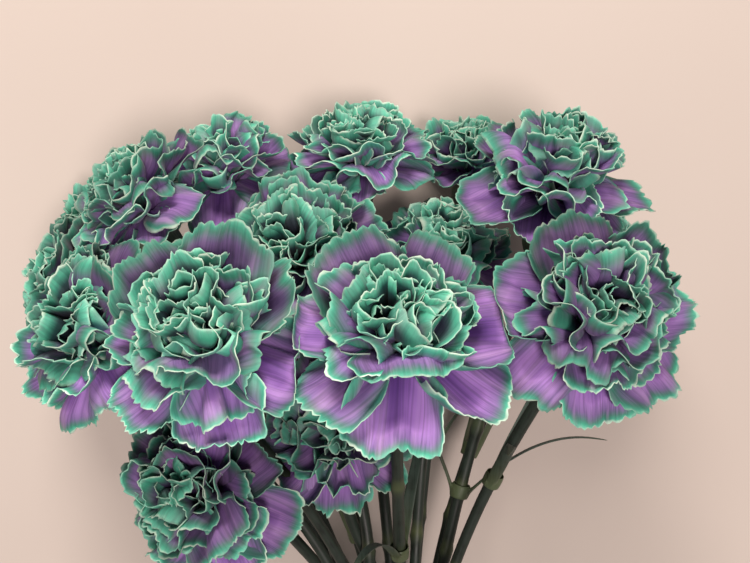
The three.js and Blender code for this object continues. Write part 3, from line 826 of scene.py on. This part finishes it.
def smooth_line(line, steps):
    """The line as a smooth curve with even steps, its directions, and its length."""
    padded = np.vstack([2 * line[0] - line[1], line, 2 * line[-1] - line[-2]])
    fine = []
    for k in range(1, len(padded) - 2):
        p0, p1, p2, p3 = padded[k - 1 : k + 3]
        for t in np.linspace(0, 1, 12, endpoint=k == len(padded) - 3):
            bend = (2 * p0 - 5 * p1 + 4 * p2 - p3) * t * t + (3 * p1 - p0 - 3 * p2 + p3) * t**3
            fine.append(0.5 * (2 * p1 + (p2 - p0) * t + bend))
    fine = np.array(fine)
    far = distances_along(fine)
    even = np.linspace(0, far[-1], steps + 1)
    places = np.stack([np.interp(even, far, fine[:, i]) for i in range(3)], 1)
    ways = np.gradient(places, axis=0)
    ways /= np.linalg.norm(ways, axis=1)[:, None]
    return places, ways, far[-1]


def distances_along(line):
    return np.concatenate([[0], np.cumsum(np.linalg.norm(np.diff(line, axis=0), axis=1))])


def distance_to(points, line):
    """Distance of each point to the nearest of a line's points."""
    return np.linalg.norm(points[:, None, :] - line[None, :, :], axis=2).min(1)


stem_curves = {number: smooth_line(stem_line(number), STEM_STEPS) for number in FLOWERS}


def find_leaf_pair(pair):
    """The number of the stem that a pair of leaves clasps, and how far along it they are."""
    points = np.unique(points_of(f"leaf_pair_{pair:02d}").round(3), axis=0)
    clasping = {
        number: distance_to(points, curve[0]) < STEM_RADIUS + SHEATH_REACH
        for number, curve in stem_curves.items()
    }
    number = max(clasping, key=lambda stem: clasping[stem].sum())
    line = stem_curves[number][0]
    ring_centre = points[clasping[number]].mean(0)
    nearest = np.linalg.norm(line - ring_centre, axis=1).argmin()
    return number, float(distances_along(line)[nearest])


leaf_places = {pair: find_leaf_pair(pair) for pair in LEAF_PAIRS}


def make_stem(number):
    """A round stem, swollen and paler at its joints: where leaves grow, and at places between."""
    random = np.random.default_rng(300 + number)
    places, ways, length = stem_curves[number]
    name = f"stalk_{number:02d}"
    mesh, turn, share = tube_sheet(name, 14, STEM_STEPS, closed=True)
    step = np.clip(np.rint(share * STEM_STEPS).astype(int), 0, STEM_STEPS)
    far = share * length
    radius = STEM_RADIUS * (0.95 + 0.05 * np.sin(far / 31 + number))
    pale = np.zeros_like(far)
    leafy = [place for stem, place in leaf_places.values() if stem == number]
    first = random.uniform(0.25, 0.75) * JOINT_GAP
    spaced = np.arange(first, length - BARE_TOP, JOINT_GAP)
    bare = [x for x in spaced if all(abs(x - joint) > LEAST_GAP for joint in leafy)]
    for joint in leafy + bare:
        gap = far - joint
        radius = radius + 0.75 * np.exp(-((gap / 2.6) ** 2))
        pale = np.maximum(pale, random.uniform(0.3, 0.75) * np.exp(-(((gap - 2.5) / 3.2) ** 2)))
    side = np.cross(ways, [0.0, 0.0, 1.0])
    side /= np.linalg.norm(side, axis=1)[:, None]
    up = np.cross(side, ways)
    ring = side[step] * np.cos(turn)[:, None] + up[step] * np.sin(turn)[:, None]
    set_points(mesh, places[step] + ring * radius[:, None])
    write_uv(mesh, "along", np.stack([turn * STEM_RADIUS, far], 1) * MM)
    write_pale(mesh, pale)
    put_in_scene(name, mesh, STEM, f"stem_{number:02d}")


for number in FLOWERS:
    make_stem(number)


# ---------------------------------------------------------------- calyxes

# A calyx's radius in millimetres at shares of its length.
CALYX_SHARES = [0, 0.06, 0.2, 0.5, 0.8, 1.0]
CALYX_RADII = [2.6, 4.6, 5.9, 6.5, 7.1, 7.9]
CALYX_AROUND = 7.0  # the radius that its pattern is laid out for
CALYX_WALL = 0.8
TOOTH_LENGTH, TOOTH_FOOT = 5.5, 2.5  # a tooth's length, and how much of it is below the mouth
SCALES = 4
SCALE_THICKNESS = 0.5
SCALE_FOOT = 0.03  # where the scales start, as a share of the calyx
SCALE_HALF_ANGLE = 0.95

# The outer and inner pair of scales: length as a share of the calyx, and height off its skin.
SCALE_PAIRS = [(0.36, 0.75), (0.46, 0.45)]


def make_calyx(flower):
    """A ribbed tube with five pointed teeth."""
    number = flower["number"]
    random = np.random.default_rng(500 + number)
    name = f"calyx_tube_{number:02d}"
    mesh, turn, share = tube_sheet(name, 40, 22, closed=False)
    tooth = np.abs(((turn * 5 / (2 * math.pi)) % 1) - 0.5) * 2
    height = share * (flower["length"] - TOOTH_FOOT + TOOTH_LENGTH * tooth**1.4)
    radius = np.interp(share, CALYX_SHARES, CALYX_RADII)
    radius = radius * (1 + 0.02 * np.sin(15 * turn)) + 0.35 * tooth * smooth_step(share, 0.85, 1.0)
    radius = radius + 0.3 * np.sin(2 * turn + number) * share
    local = np.stack([radius * np.cos(turn), radius * np.sin(turn), height], 1)
    set_points(mesh, flower["base"] + local @ flower["basis"])
    write_uv(mesh, "along", np.stack([turn * CALYX_AROUND, height], 1) * MM)
    write_pale(mesh, 0.55 * smooth_step(share, 0.8, 1.0) + random.uniform(0.0, 0.15))
    piece = put_in_scene(name, mesh, CALYX, f"calyx_{number:02d}")
    thicken(piece, CALYX_WALL, -1.0)


def make_scales(flower):
    """Two pairs of pointed scales that hug the foot of a calyx."""
    number = flower["number"]
    name = f"calyx_scales_{number:02d}"
    mesh, u, v = loose_sheets(name, SCALES, 10, 10)
    points, places = [], []
    for k in range(SCALES):
        reach, lift = SCALE_PAIRS[k % 2]
        share = SCALE_FOOT + v * reach
        turn = k * math.pi / 2 + number + u * SCALE_HALF_ANGLE * (1 - v**1.8)
        radius = np.interp(share, CALYX_SHARES, CALYX_RADII) + lift + 0.35 * v**3
        height = share * flower["length"]
        local = np.stack([radius * np.cos(turn), radius * np.sin(turn), height], 1)
        points.append(flower["base"] + local @ flower["basis"])
        places.append(np.stack([turn * CALYX_AROUND, height], 1) * MM)
    set_points(mesh, np.concatenate(points))
    write_uv(mesh, "along", np.concatenate(places))
    write_pale(mesh, np.tile(0.1 + 0.5 * v**2, SCALES))
    piece = put_in_scene(name, mesh, CALYX, f"calyx_{number:02d}")
    thicken(piece, SCALE_THICKNESS)


for f in flowers:
    make_calyx(f)
    make_scales(f)


# ---------------------------------------------------------------- leaves


def make_leaf_pair(pair):
    """Two leaves and the sheath that joins them: the solid's own shape, smoothed."""
    bm = bmesh.new()
    bm.from_mesh(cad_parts[f"leaf_pair_{pair:02d}"].data)
    bmesh.ops.remove_doubles(bm, verts=bm.verts, dist=0.02 * MM)
    bmesh.ops.join_triangles(bm, faces=bm.faces, angle_face_threshold=0.5, angle_shape_threshold=1.2)
    name = f"leaves_{pair:02d}"
    mesh = finish_mesh(name, bm)
    points = get_points(mesh) / MM
    stem, _ = leaf_places[pair]
    out = distance_to(points, stem_curves[stem][0])
    write_uv(mesh, "along", np.stack([points[:, 0], out], 1) * MM)
    # The sheath and the tips are paler.
    write_pale(mesh, 0.7 * np.exp(-((out / 9) ** 2)) + 0.25 * smooth_step(out, 40, 60))
    piece = put_in_scene(name, mesh, LEAF, f"leaf_pair_{pair:02d}")
    smooth = piece.modifiers.new("smooth", "SUBSURF")
    smooth.levels = smooth.render_levels = 2


for pair in LEAF_PAIRS:
    make_leaf_pair(pair)


# ---------------------------------------------------------------- band

BAND_HALF_WIDTH = 2.4
BAND_CLEARANCE = 0.1  # how far the band draws in from the middle of its solid


def make_band():
    """A flat elastic band, a little wavy along its edges."""
    points = np.unique(points_of("rubber_band").round(3), axis=0)
    centre = points.mean(0)
    axis = np.linalg.svd(points - centre, full_matrices=False)[2][2]
    right = unit(np.array([1.0, 0.0, 0.0]) - axis * axis[0])
    back = np.cross(axis, right)
    spread = np.linalg.norm((points - centre) - np.outer((points - centre) @ axis, axis), axis=1)
    inner, outer = spread.min(), spread.max()
    bm = bmesh.new()
    bmesh.ops.create_grid(bm, x_segments=96, y_segments=16, size=1.0)
    for vertex in bm.verts:
        around, section = math.pi * vertex.co.x, math.pi * vertex.co.y
        # A flat band's section: a rectangle with rounded corners.
        c, s = math.cos(section), math.sin(section)
        thick = math.copysign(abs(c) ** 0.5, c) * (outer - inner) / 2
        wide = math.copysign(abs(s) ** 0.5, s) * BAND_HALF_WIDTH
        wide += 0.25 * math.sin(3 * around) + 0.15 * math.sin(7 * around)
        r = (inner + outer) / 2 - BAND_CLEARANCE + thick
        place = centre + right * r * math.cos(around) + back * r * math.sin(around) + axis * wide
        vertex.co = Vector(place * MM)
    bmesh.ops.remove_doubles(bm, verts=bm.verts, dist=0.001 * MM)
    bmesh.ops.recalc_face_normals(bm, faces=bm.faces)
    put_in_scene("elastic_band", finish_mesh("elastic_band", bm), RUBBER, "rubber_band")


make_band()


# ---------------------------------------------------------------- floor, light and camera

FLOOR_HALF_WIDTH = 20.0


def background_paper():
    """Matt background paper: warm, pale and nearly even, with broad cloudy patches."""
    material, tree = new_material("matt_background_paper")
    place = add_node(tree, "ShaderNodeTexCoord").outputs["Object"]
    cloud = add_node(tree, "ShaderNodeTexNoise", {}, {"Vector": place, "Scale": 3.0, "Detail": 2.0})
    paper = set_stops(
        add_node(tree, "ShaderNodeValToRGB", {}, {"Fac": cloud.outputs["Fac"]}),
        [(0.3, "ccbfb6"), (0.7, "d4c8bf")],
    )
    finish_material(tree, {"Base Color": paper, "Roughness": 0.9, "Specular IOR Level": 0.2})
    return material


def make_floor():
    bm = bmesh.new()
    bmesh.ops.create_grid(bm, x_segments=1, y_segments=1, size=FLOOR_HALF_WIDTH)
    mesh = finish_mesh("floor", bm)
    mesh.materials.append(background_paper())
    floor = bpy.data.objects.new("floor", mesh)
    bpy.context.scene.collection.objects.link(floor)


def hang_light(name, kind, place, spread, strength, tint, aim):
    """A light aimed at a point. Its spread softens its shadows: the width of a disk in metres, or
    the angle that a sun fills in radians."""
    lamp = bpy.data.lights.new(name, kind)
    if kind == "SUN":
        lamp.angle = spread
    else:
        lamp.shape = "DISK"
        lamp.size = spread
    lamp.energy = strength
    lamp.color = colour(tint)[:3]
    holder = bpy.data.objects.new(name, lamp)
    holder.location = place
    holder.rotation_euler = (Vector(aim) - Vector(place)).to_track_quat("-Z", "Y").to_euler()
    bpy.context.scene.collection.objects.link(holder)


make_floor()
front_low, front_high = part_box("petals_01")
view_point = (front_low + front_high) / 2
hang_light("window", "AREA", (-0.2, 1.2, 1.0), 0.6, 16.5, "fff6ee", view_point)
hang_light("fill", "SUN", (0.25, -0.2, 1.6), 0.3, 1.85, "fff2ee", view_point)

world = bpy.data.worlds.new("studio")
bpy.context.scene.world = world
world.use_nodes = True
background = world.node_tree.nodes["Background"]
background.inputs["Color"].default_value = colour("f3ebe4")
background.inputs["Strength"].default_value = 0.26

camera_data = bpy.data.cameras.new("camera")
camera_data.sensor_width = 36
camera_data.lens = 52.3
camera_data.clip_start = 0.01
camera = bpy.data.objects.new("camera", camera_data)
camera.location = (0.0136, 0.1243, 0.587)
camera.rotation_euler = (0, 0, 0)
bpy.context.scene.collection.objects.link(camera)
bpy.context.scene.camera = camera
bpy.context.scene.view_settings.view_transform = "Standard"
